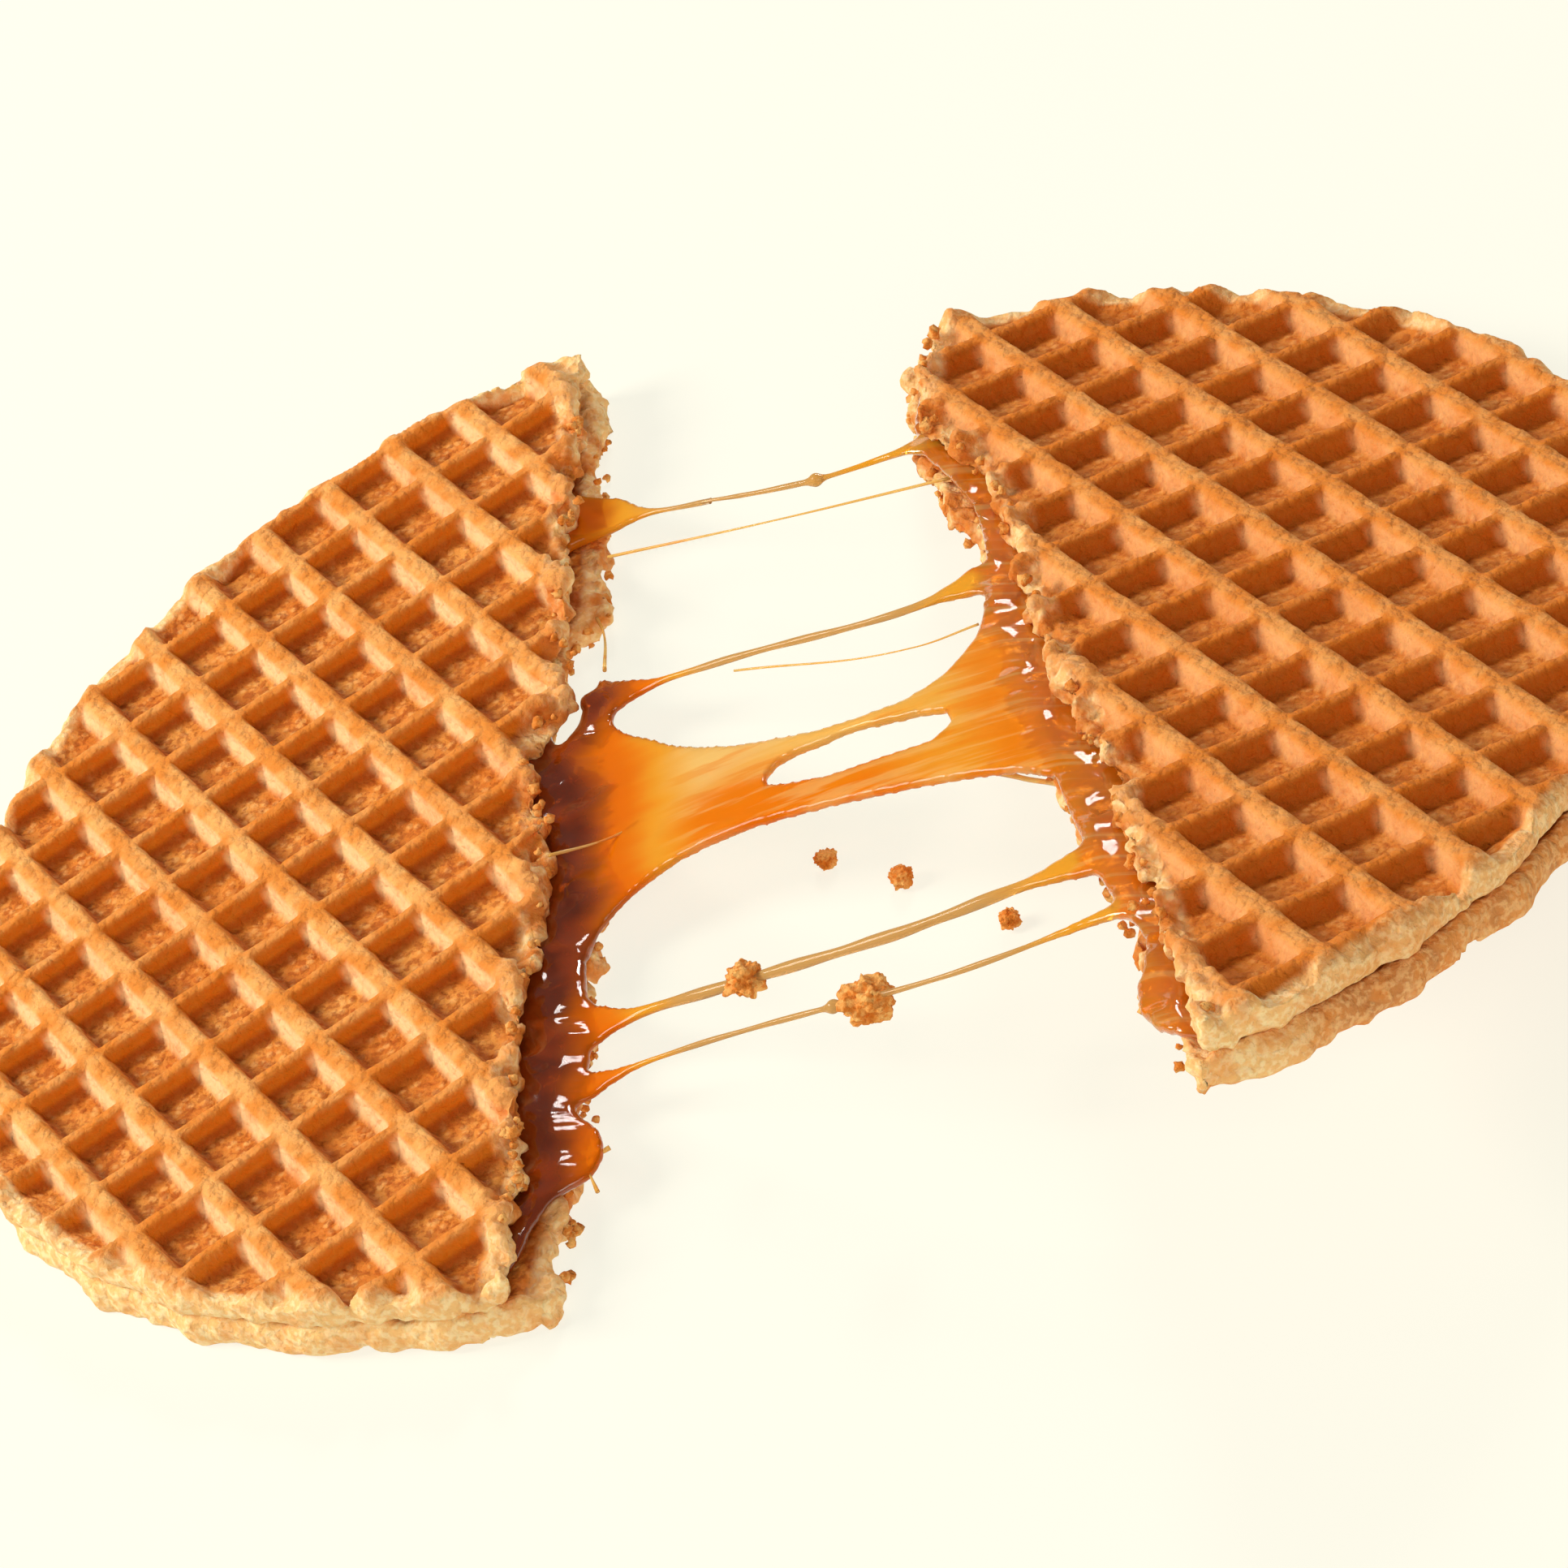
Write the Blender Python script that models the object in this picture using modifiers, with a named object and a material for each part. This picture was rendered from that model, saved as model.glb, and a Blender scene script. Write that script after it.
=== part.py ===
"""A stroopwafel torn in two, its halves pulled apart with the caramel stretched between them.

X runs along the pull, Z points up, and the origin is the middle of the footprint on the table.
The left half lies flat. The right half leans back on its far rim, so its torn edge is lifted.
Each half is a bottom wafer, a share of the caramel and a top wafer. The caramel is one piece.
"""

import math

import bmesh
import bpy
from mathutils import Euler, Matrix, Vector, noise

MM = 0.001

# Layers, from the table up (mm)
WAFER_THICK = 1.95
CARAMEL_THICK = 0.8
LAYER_GAP = 0.25
HALF_THICK = 2 * WAFER_THICK + CARAMEL_THICK + 2 * LAYER_GAP
TOP_WAFER_BASE = HALF_THICK - WAFER_THICK
MID_LAYER = HALF_THICK / 2

# Grid pressed into the outer faces, as shares of its pitch where no unit is given
LONG_RIDGE = 0.22
CROSS_RIDGE = 0.12
PIT_SLOPE = 0.12
PIT_DEPTH_TOP = 1.5
PIT_DEPTH_BOTTOM = 0.9
PIT_OVER = 0.4
RIM_MARGIN = 0.36

# Rim
RIM_STEPS = 96
SCALLOPS = 32
SCALLOP_DEPTH = 0.35
RIM_BEVEL = 0.45
FLAT_ENOUGH = 0.001
CARAMEL_INSET = 1.6

# Tears
TEAR_STEP = 1.7
TEAR_ROUGHNESS = 0.55
FAR = 90.0

# The left half: an oval drawn out a little by the pull, lying flat
LEFT = {
    "centre": (-12.9, 5.3),
    "radii": (45.2, 50.6),
    "turn": -30.7,
    "pitch": 5.8,
    "grid_start": (-56.1, -15.6),
    "grid_turn": -44.5,
    "side": 1,
    "tear_top": (
        (-31, 60), (-27.5, 45.8), (-25, 37), (-22.5, 24), (-19.2, 12), (-20.5, 7), (-17.5, 0),
        (-15, -9), (-14.5, -17), (-12, -27), (-10, -33), (-8.8, -44), (-8.5, -60),
    ),
    "tear_bottom": (
        (-31.5, 60), (-27, 47), (-24.3, 38), (-21.3, 28), (-20.3, 23.4), (-22.3, 21), (-21.9, 15),
        (-21, 10), (-16.3, 6), (-13.5, -3), (-11.2, -14), (-9, -25), (-7.5, -34), (-6.7, -40), (-8, -60),
    ),
}

# The right half, in its own level frame before it is leaned back
RIGHT = {
    "centre": (-13.6, -10.0),
    "radii": (42.6, 49.9),
    "turn": -4.9,
    "pitch": 5.95,
    "grid_start": (-19.6, 30.4),
    "grid_turn": -47.7,
    "side": -1,
    "tear_top": (
        (-28.5, 60), (-27.5, 30), (-25.5, 23), (-19.6, 16), (-14.7, 6), (-14, 2), (-11.2, -4),
        (-6.5, -14.5), (-2, -22.5), (-0.5, -28), (2.2, -34), (5.3, -41), (9, -49), (15, -62),
    ),
    "tear_bottom": (
        (-31, 60), (-29.8, 34), (-24.2, 18.6), (-19.8, 13), (-14, -1.5), (-8, -15.5),
        (-3, -27), (0.5, -33), (4, -42), (8.5, -50), (13.5, -62),
    ),
}
RIGHT_PLACE = (29.6, 7.7)
RIGHT_LEAN = (-10.8, 5.2)

# The stretched caramel rises from the left half's layer to the right half's, between these two lines
RISE_FROM = ((-26, 47), (-2, -48))
RISE_TO = ((-4, 44.5), (36, -35))
RISE_STATIONS = 5
ARC_STEPS = 16

# The torn edges of the caramel's two layers in plan, back to front, and the web between them with its gap
LAYER_EDGE_LEFT = (
    (-25, 39.5), (-22.6, 34), (-21.8, 26), (-22.6, 20), (-21.4, 12.6), (-19.4, 9), (-15.5, 5), (-12.5, -8),
    (-11.2, -14), (-8.8, -22), (-8.8, -26), (-6.4, -28.4), (-5.7, -31.4), (-8.2, -34),
)
LAYER_EDGE_RIGHT = (
    (2.4, 33), (9.2, 22.5), (12.4, 14.5), (15, 4), (22, -8.5), (26.4, -17.5), (31, -26), (33.8, -30),
    (34.8, -36.5),
)
WEB = (
    (-19.2, 8), (-18.4, 11), (-18.5, 14), (-16.4, 13), (-15.4, 10), (-11.4, 6.8), (-7.7, 4.4),
    (-1.2, 2), (6.5, 0.9), (11.6, 2), (13.8, 5.6), (14.5, 10), (19, 8), (26, -8), (24, -11.2),
    (20.5, -9.8), (11, -7.8), (4.7, -6.8), (-1.8, -6.1), (-8, -7.2), (-11.2, -9.8), (-12, -13),
    (-16, -12), (-19, 2),
)
WEB_GAP = ((-0.1, -1.7), (3.7, -0.5), (9.2, -0.6), (14.1, -2.8), (9, -4), (3, -3.5))
CURVE_STEPS = 3

# Strands, back to front: the line each follows in plan, half its width along the middle and at its
# two roots, and how far the flare at each root reaches
STRANDS = (
    {
        "line": ((-23.5, 33), (-14, 30.7), (-4.5, 29.3), (1.5, 30), (5, 31)),
        "half_width": 0.35,
        "roots": (3.2, 2.6),
        "flares": (3, 1.5),
    },
    {
        "line": ((-18.2, 13), (-12, 12.6), (-4.5, 11.9), (6.5, 10.9), (13.5, 12.6)),
        "half_width": 0.35,
        "roots": (2.4, 2.6),
        "flares": (3.6, 2.4),
    },
    {
        "line": ((-10.6, -18.8), (-5, -19.4), (3, -20.6), (14, -21.7), (23, -21.3), (29, -20.4)),
        "half_width": 0.4,
        "roots": (2.6, 2.2),
        "flares": (2.6, 3),
    },
    {
        "line": ((-9.6, -24.2), (-3, -24.2), (9.5, -26), (17, -27.1), (24, -27.2), (32.5, -26.2)),
        "half_width": 0.3,
        "roots": (2.2, 1.2),
        "flares": (2, 2),
    },
)
STRAND_STEPS = 4
WEB_THICK = 0.74
STRAND_THICK = 0.6

COLOURS = {
    "wafer_top": (0.60, 0.27, 0.09),
    "wafer_bottom": (0.52, 0.23, 0.08),
    "caramel": (0.34, 0.09, 0.015),
}


def material(name, colour, roughness):
    """A plain food finish of one colour."""
    made = bpy.data.materials.new(name)
    made.use_nodes = True
    shader = made.node_tree.nodes["Principled BSDF"]
    shader.inputs["Base Color"].default_value = (*colour, 1)
    shader.inputs["Roughness"].default_value = roughness
    shader.inputs["Metallic"].default_value = 0
    return made


def collection(name, hidden=False):
    made = bpy.data.collections.new(name)
    made.hide_render = hidden
    bpy.context.scene.collection.children.link(made)
    return made


def turned(point, degrees):
    angle = math.radians(degrees)
    x, y = point
    return (x * math.cos(angle) - y * math.sin(angle), x * math.sin(angle) + y * math.cos(angle))


def rim_point(half, angle, inset=0.0, scallop=0.0):
    """A point of the half's oval rim, angle in radians round its centre."""
    reach = scallop * math.cos(SCALLOPS * angle) - inset
    along = (half["radii"][0] + reach) * math.cos(angle)
    across = (half["radii"][1] + reach) * math.sin(angle)
    x, y = turned((along, across), half["turn"])
    return (half["centre"][0] + x, half["centre"][1] + y)


def rim_angle(half, point):
    """The rim angle that a point beside the rim belongs to."""
    offset = (point[0] - half["centre"][0], point[1] - half["centre"][1])
    x, y = turned(offset, -half["turn"])
    return math.atan2(y / half["radii"][1], x / half["radii"][0])


def inside_share(half, point):
    """0 at the middle of the oval and 1 on its rim."""
    offset = (point[0] - half["centre"][0], point[1] - half["centre"][1])
    x, y = turned(offset, -half["turn"])
    return math.hypot(x / half["radii"][0], y / half["radii"][1])


def torn_line(points, seed):
    """A tear through the given points, broken up into short uneven steps."""
    line = []
    for (x0, y0), (x1, y1) in zip(points, points[1:]):
        steps = max(1, round(math.hypot(x1 - x0, y1 - y0) / TEAR_STEP))
        for step in range(steps):
            share = step / steps
            x, y = x0 + (x1 - x0) * share, y0 + (y1 - y0) * share
            push = noise.noise(Vector((x * 0.45, y * 0.45, seed))) * 2 * TEAR_ROUGHNESS
            line.append((x + push, y))
    line.append(points[-1])
    return line


def flat_outline(name, outlines, thickness, smooth=False):
    """A flat solid of the given closed outlines, centred on Z=0. Outlines inside the first are holes."""
    curve = bpy.data.curves.new(name, "CURVE")
    curve.dimensions = "2D"
    curve.fill_mode = "BOTH"
    curve.extrude = thickness / 2 * MM
    curve.resolution_u = CURVE_STEPS
    for outline in outlines:
        if smooth:
            spline = curve.splines.new("BEZIER")
            spline.bezier_points.add(len(outline) - 1)
            for knot, (x, y) in zip(spline.bezier_points, outline):
                knot.co = (x * MM, y * MM, 0)
                knot.handle_left_type = knot.handle_right_type = "AUTO"
        else:
            spline = curve.splines.new("POLY")
            spline.points.add(len(outline) - 1)
            for knot, (x, y) in zip(spline.points, outline):
                knot.co = (x * MM, y * MM, 0, 1)
        spline.use_cyclic_u = True
    holder = bpy.data.objects.new(name, curve)
    bpy.context.scene.collection.objects.link(holder)
    bpy.context.view_layer.update()
    graph = bpy.context.evaluated_depsgraph_get()
    mesh = bpy.data.meshes.new_from_object(holder.evaluated_get(graph))
    bpy.data.objects.remove(holder)
    body = bmesh.new()
    body.from_mesh(mesh)
    bmesh.ops.remove_doubles(body, verts=body.verts, dist=1e-6)
    bmesh.ops.dissolve_limit(body, angle_limit=FLAT_ENOUGH, verts=body.verts, edges=body.edges)
    bmesh.ops.recalc_face_normals(body, faces=body.faces)
    body.to_mesh(mesh)
    body.free()
    return bpy.data.objects.new(name, mesh)


def subtract(target, cutter, cutters):
    """Cut one object from another with a Boolean that stays live."""
    cutters.objects.link(cutter)
    cutter.hide_render = True
    cutter.display_type = "WIRE"
    cut = target.modifiers.new(cutter.name, "BOOLEAN")
    cut.operation = "DIFFERENCE"
    cut.solver = "EXACT"
    cut.object = cutter


def tear_cutter(name, half, points, seed):
    """Everything beyond a tear, from below the wafer to above it."""
    line = torn_line(points, seed)
    far_x = half["side"] * FAR
    outline = line + [(far_x, line[-1][1]), (far_x, line[0][1])]
    return flat_outline(name, [outline], 8 * WAFER_THICK)


def pit_places(half, tear):
    """Middles of the pits that fit inside the rim and lie on the half's side of its tear."""
    pitch = half["pitch"]
    reach = int(2.2 * max(half["radii"]) / pitch)
    margin = 1 - RIM_MARGIN * pitch / min(half["radii"])
    for i in range(-reach, reach + 1):
        for j in range(-reach, reach + 1):
            shift = ((i - 0.37) * pitch, (j + 0.37) * pitch)
            x, y = turned(shift, half["grid_turn"])
            x, y = x + half["grid_start"][0], y + half["grid_start"][1]
            if inside_share(half, (x, y)) < margin and kept_side(half, tear, (x, y), -0.3 * pitch):
                yield x, y


def kept_side(half, tear, point, margin):
    """True for a point on the half's own side of its tear by more than the margin."""
    x, y = point
    for (x0, y0), (x1, y1) in zip(tear, tear[1:]):
        if y1 <= y <= y0:
            edge = x0 + (x1 - x0) * (y - y0) / (y1 - y0)
            return (edge - x) * half["side"] > margin
    return False


def pit_cutter(name, half, tear, top):
    """One tapered block for each pit of the pressed grid, reaching out of the wafer's outer face."""
    pitch = half["pitch"]
    depth = PIT_DEPTH_TOP if top else PIT_DEPTH_BOTTOM
    floor, mouth = (HALF_THICK - depth, HALF_THICK + PIT_OVER) if top else (depth, -PIT_OVER)
    wide = (1 - CROSS_RIDGE) / 2 * pitch
    squeeze = Matrix.Scale((1 - LONG_RIDGE) / (1 - CROSS_RIDGE), 4, (0, 1, 0))
    narrow = wide - PIT_SLOPE * pitch
    widest = wide + (wide - narrow) * PIT_OVER / depth
    low_side, high_side = (narrow, widest) if top else (widest, narrow)
    square = Matrix.Rotation(math.tau / 8, 4, "Z")
    spin = Matrix.Rotation(math.radians(half["grid_turn"]), 4, "Z") @ squeeze @ square
    body = bmesh.new()
    for x, y in pit_places(half, tear):
        made = bmesh.ops.create_cone(
            body,
            cap_ends=True,
            segments=4,
            radius1=low_side * math.sqrt(2) * MM,
            radius2=high_side * math.sqrt(2) * MM,
            depth=abs(mouth - floor) * MM,
        )
        place = Matrix.Translation(Vector((x, y, (floor + mouth) / 2)) * MM)
        bmesh.ops.transform(body, verts=made["verts"], matrix=place @ spin)
    mesh = bpy.data.meshes.new(name)
    body.to_mesh(mesh)
    body.free()
    return bpy.data.objects.new(name, mesh)


def shifted_up(obj, height):
    obj.data.transform(Matrix.Translation((0, 0, height * MM)))
    return obj


def wafer(name, half, top, seed, holder, parts, cutters):
    """One wafer of one half: a rounded oval plate, torn off on one side, with pits in its outer face."""
    base = TOP_WAFER_BASE if top else 0
    middle = base + WAFER_THICK / 2
    angles = [math.tau * step / RIM_STEPS for step in range(RIM_STEPS)]
    outline = [rim_point(half, angle, scallop=SCALLOP_DEPTH) for angle in angles]
    plate = shifted_up(flat_outline(name, [outline], WAFER_THICK), middle)
    parts.objects.link(plate)
    look = "wafer_top" if top else "wafer_bottom"
    plate.data.materials.append(material(name + "_crust", COLOURS[look], 0.75))
    plate.parent = holder
    rim = plate.modifiers.new("rim", "BEVEL")
    rim.width = RIM_BEVEL * MM
    rim.segments = 1
    rim.limit_method = "ANGLE"
    rim.angle_limit = math.radians(60)
    tear = half["tear_top"] if top else half["tear_bottom"]
    beyond = shifted_up(tear_cutter(name + "_tear", half, tear, seed), middle)
    pits = pit_cutter(name + "_pits", half, tear, top)
    for cutter in (beyond, pits):
        cutter.parent = holder
        subtract(plate, cutter, cutters)
    return plate


def lowest_turned(obj, turn):
    """How low the finished object reaches (mm) once it is turned."""
    bpy.context.view_layer.update()
    shown = obj.evaluated_get(bpy.context.evaluated_depsgraph_get())
    mesh = shown.to_mesh()
    lowest = min((turn @ vertex.co).z for vertex in mesh.vertices)
    shown.to_mesh_clear()
    return lowest / MM


def line_x(line, y):
    """Where a straight line in plan crosses a given Y."""
    (x0, y0), (x1, y1) = line
    return x0 + (x1 - x0) * (y - y0) / (y1 - y0)


def layer_height(x, y, right_frame):
    """Height of the middle of the caramel (mm): level, then rising, then in the right half's plane."""
    middle = right_frame @ Vector((0, 0, MID_LAYER))
    normal = right_frame.to_3x3() @ Vector((0, 0, 1))
    right = middle.z - (normal.x * (x - middle.x) + normal.y * (y - middle.y)) / normal.z
    start, end = line_x(RISE_FROM, y), line_x(RISE_TO, y)
    share = min(1, max(0, (x - start) / (end - start)))
    return (1 - share) * MID_LAYER + share * right


def layer_arc(half, start, end, frame):
    """The caramel's edge inside a half's rim, clockwise between two points, in the whole object's plan."""
    first, last = rim_angle(half, start), rim_angle(half, end)
    if last > first:
        last -= math.tau
    points = []
    for step in range(ARC_STEPS + 1):
        angle = first + (last - first) * step / ARC_STEPS
        x, y = rim_point(half, angle, inset=CARAMEL_INSET)
        placed = frame @ Vector((x, y, MID_LAYER))
        points.append((placed.x, placed.y))
    return points


def strand_outline(strand):
    """Both sides of a strand that is thin along its length and flares out at its two roots."""
    knots = [Vector(point) for point in strand["line"]]
    points = []
    for index in range(len(knots) - 1):
        before, here = knots[max(index - 1, 0)], knots[index]
        there, after = knots[index + 1], knots[min(index + 2, len(knots) - 1)]
        pull_here, pull_there = (there - before) / 2, (after - here) / 2
        for step in range(STRAND_STEPS + (index == len(knots) - 2)):
            t = step / STRAND_STEPS
            points.append(
                here * (2 * t**3 - 3 * t**2 + 1) + pull_here * (t**3 - 2 * t**2 + t)
                + there * (3 * t**2 - 2 * t**3) + pull_there * (t**3 - t**2)
            )
    left_side, right_side = [], []
    for index, point in enumerate(points):
        ahead = points[min(index + 1, len(points) - 1)] - points[max(index - 1, 0)]
        across = Vector((-ahead.y, ahead.x)).normalized()
        width = strand["half_width"]
        for root, end, flare in zip(strand["roots"], (points[0], points[-1]), strand["flares"]):
            width += (root - strand["half_width"]) * math.exp(-((point - end).length / flare))
        left_side.append(tuple(point + across * width))
        right_side.append(tuple(point - across * width))
    return left_side + right_side[::-1]


def joined(base, others):
    """One solid made of the base and the others, as a new object."""
    for other in others:
        bpy.context.scene.collection.objects.link(other)
        join = base.modifiers.new(other.name, "BOOLEAN")
        join.operation = "UNION"
        join.solver = "EXACT"
        join.object = other
    bpy.context.scene.collection.objects.link(base)
    bpy.context.view_layer.update()
    shown = base.evaluated_get(bpy.context.evaluated_depsgraph_get())
    mesh = bpy.data.meshes.new_from_object(shown)
    name = base.name
    for used in (base, *others):
        bpy.data.objects.remove(used)
    return bpy.data.objects.new(name, mesh)


def caramel(right_frame, holder, parts):
    """The whole caramel: both layers, and the web and strands that stretch between them."""
    left_arc = layer_arc(LEFT, (-10.5, -44), (-28.5, 46), Matrix.Identity(4))
    right_arc = layer_arc(RIGHT, (-26, 36), (10, -49), right_frame)
    left = flat_outline("caramel", [(*left_arc, *LAYER_EDGE_LEFT)], CARAMEL_THICK, smooth=True)
    right = flat_outline("layer_right", [(*right_arc, *LAYER_EDGE_RIGHT[::-1])], CARAMEL_THICK, smooth=True)
    stretched = [right, flat_outline("web", [WEB, WEB_GAP], WEB_THICK, smooth=True)]
    for number, strand in enumerate(STRANDS, 1):
        stretched.append(flat_outline(f"strand_{number}", [strand_outline(strand)], STRAND_THICK))
    sheet = joined(left, stretched)
    body = bmesh.new()
    body.from_mesh(sheet.data)
    for station in range(RISE_STATIONS):
        share = station / (RISE_STATIONS - 1)
        ends = [(1 - share) * line_x(RISE_FROM, y) + share * line_x(RISE_TO, y) for y in (FAR, -FAR)]
        across = Vector((2 * FAR, ends[0] - ends[1], 0)).normalized()
        across.y = -across.y
        everything = [*body.verts, *body.edges, *body.faces]
        start = Vector((ends[0], FAR, 0)) * MM
        bmesh.ops.bisect_plane(body, geom=everything, dist=1e-7, plane_co=start, plane_no=across)
    bmesh.ops.triangulate(body, faces=body.faces)
    for vertex in body.verts:
        vertex.co.z += layer_height(vertex.co.x / MM, vertex.co.y / MM, right_frame) * MM
    body.to_mesh(sheet.data)
    body.free()
    sheet.data.materials.append(material("caramel", COLOURS["caramel"], 0.2))
    sheet.parent = holder
    parts.objects.link(sheet)
    return sheet


def footprint_middle(objects):
    """Middle, in plan, of the box round all the finished objects."""
    bpy.context.view_layer.update()
    graph = bpy.context.evaluated_depsgraph_get()
    corners = []
    for obj in objects:
        shown = obj.evaluated_get(graph)
        corners += [shown.matrix_world @ vertex.co for vertex in shown.data.vertices]
    xs, ys = [corner.x for corner in corners], [corner.y for corner in corners]
    return Vector(((min(xs) + max(xs)) / 2, (min(ys) + max(ys)) / 2, 0))


def main():
    for obj in list(bpy.data.objects):
        bpy.data.objects.remove(obj)
    parts = collection("stroopwafel")
    cutters = collection("cutters", hidden=True)
    footprint = bpy.data.objects.new("footprint", None)
    right_place = bpy.data.objects.new("right_place", None)
    for holder in (footprint, right_place):
        parts.objects.link(holder)
    right_place.parent = footprint

    pieces = [
        wafer("wafer_bottom_left", LEFT, False, 1.5, footprint, parts, cutters),
        wafer("wafer_top_left", LEFT, True, 4.5, footprint, parts, cutters),
        wafer("wafer_bottom_right", RIGHT, False, 7.5, right_place, parts, cutters),
        wafer("wafer_top_right", RIGHT, True, 11.5, right_place, parts, cutters),
    ]
    lean = Euler([math.radians(angle) for angle in (*RIGHT_LEAN, 0)])
    lift = -lowest_turned(pieces[2], lean.to_matrix())
    right_place.rotation_euler = lean
    right_place.location = Vector((*RIGHT_PLACE, lift)) * MM
    right_frame = Matrix.Translation((*RIGHT_PLACE, lift)) @ lean.to_matrix().to_4x4()
    pieces.append(caramel(right_frame, footprint, parts))
    footprint.location = -footprint_middle(pieces)


main()
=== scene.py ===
"""Looks for a stroopwafel torn in two, with caramel stretched between the halves.

Each wafer is a fine-grained copy of its plain solid, with the iron's print rounded over, the rim
lumpy and the tear crumbling. The caramel is one smooth glossy body, with hairs drawn out of it.
"""

import math
import random

import bpy
import numpy as np
from bpy.props import FloatProperty, FloatVectorProperty, IntProperty, PointerProperty
from mathutils import Euler, Matrix, Quaternion, Vector


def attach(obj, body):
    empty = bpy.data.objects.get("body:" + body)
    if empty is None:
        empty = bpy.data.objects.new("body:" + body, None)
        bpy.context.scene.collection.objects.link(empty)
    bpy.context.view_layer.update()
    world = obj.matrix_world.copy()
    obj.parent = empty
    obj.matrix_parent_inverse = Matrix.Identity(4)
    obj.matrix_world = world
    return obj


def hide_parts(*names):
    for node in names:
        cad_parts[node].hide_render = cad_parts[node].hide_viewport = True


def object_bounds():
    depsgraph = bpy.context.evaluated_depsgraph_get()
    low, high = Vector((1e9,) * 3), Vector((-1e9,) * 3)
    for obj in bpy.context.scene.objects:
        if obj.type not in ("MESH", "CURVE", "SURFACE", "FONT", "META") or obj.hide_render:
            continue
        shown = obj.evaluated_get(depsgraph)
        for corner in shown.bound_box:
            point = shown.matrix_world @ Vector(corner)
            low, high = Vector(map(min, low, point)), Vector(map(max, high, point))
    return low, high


bl_info = {
    "name": "Torn stroopwafel",
    "version": (1, 0, 0),
    "blender": (4, 5, 0),
    "location": "3D View > Sidebar > Stroopwafel",
    "description": "Bakes the wafers, pulls the caramel and scatters the crumbs of a torn stroopwafel",
    "category": "Add Mesh",
}

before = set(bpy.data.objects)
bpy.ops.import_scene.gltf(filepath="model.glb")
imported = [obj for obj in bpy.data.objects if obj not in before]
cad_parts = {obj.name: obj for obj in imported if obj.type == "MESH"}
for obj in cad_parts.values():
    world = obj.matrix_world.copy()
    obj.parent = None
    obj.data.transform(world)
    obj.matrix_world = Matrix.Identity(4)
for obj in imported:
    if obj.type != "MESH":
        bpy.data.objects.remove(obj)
plain_box = [list(corner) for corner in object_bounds()]

MM = 0.001

# Each half, in its own level frame (mm and degrees): place and lean say where that frame sits, and
# lip how far the rims of its wafers bend towards each other. The oval has a centre, radii and a
# turn, and the grid of the iron a pitch, a start and a turn. The two tears are lines in plan.
LEFT = {
    "place": (0.29, -2.94, 0.0),
    "lean": (0.0, 0.0),
    "lip": 0.68,
    "centre": (-12.9, 5.3),
    "radii": (45.2, 50.6),
    "turn": -30.7,
    "pitch": 5.8,
    "grid_start": (-56.1, -15.6),
    "grid_turn": -44.5,
    "tear_top": (
        (-31, 60), (-27.5, 45.8), (-25, 37), (-22.5, 24), (-19.2, 12), (-20.5, 7), (-17.5, 0),
        (-15, -9), (-14.5, -17), (-12, -27), (-10, -33), (-8.8, -44), (-8.5, -60),
    ),
    "tear_bottom": (
        (-31.5, 60), (-27, 47), (-24.3, 38), (-21.3, 28), (-20.3, 23.4), (-22.3, 21), (-21.9, 15),
        (-21, 10), (-16.3, 6), (-13.5, -3), (-11.2, -14), (-9, -25), (-7.5, -34), (-6.7, -40), (-8, -60),
    ),
}
RIGHT = {
    "place": (29.89, 4.76, 7.02),
    "lean": (-10.8, 5.2),
    "lip": 0.52,
    "centre": (-13.6, -10.0),
    "radii": (42.6, 49.9),
    "turn": -4.9,
    "pitch": 5.95,
    "grid_start": (-19.6, 30.4),
    "grid_turn": -47.7,
    "tear_top": (
        (-28.5, 60), (-27.5, 30), (-25.5, 23), (-19.6, 16), (-14.7, 6), (-14, 2), (-11.2, -4),
        (-6.5, -14.5), (-2, -22.5), (-0.5, -28), (2.2, -34), (5.3, -41), (9, -49), (15, -62),
    ),
    "tear_bottom": (
        (-31, 60), (-29.8, 34), (-24.2, 18.6), (-19.8, 13), (-14, -1.5), (-8, -15.5),
        (-3, -27), (0.5, -33), (4, -42), (8.5, -50), (13.5, -62),
    ),
}
# The heights of each wafer's inner and outer face, and how deep its pits are (mm)
LAYER_FACES = {"bottom": (1.95, 0.0), "top": (3.25, 5.2)}
PIT_DEPTH = {"bottom": 0.9, "top": 1.5}
# How far the middle of a pit lies from the grid's start, as a share of the pitch
PIT_SHIFT = 0.37
# Half the mouth of a pit along and across the grid, and the run of its walls, as shares of the pitch
PIT_HALF = (0.44, 0.39)
PIT_RAMP = 0.12

# The caramel between the two tears, in plan: where the fine body ends under each half (mm)
CARAMEL_LEFT_END = ((-34.0, 46.0), (-15.0, -48.0))
CARAMEL_RIGHT_END = ((7.5, 46.0), (44.5, -46.0))

# The web's front edge, where the caramel is thick (mm)
WEB_FRONT = ((-11, -17), (-8, -10.5), (-2, -9), (5, -9.7), (12, -10.8), (21, -12.8))

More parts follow.
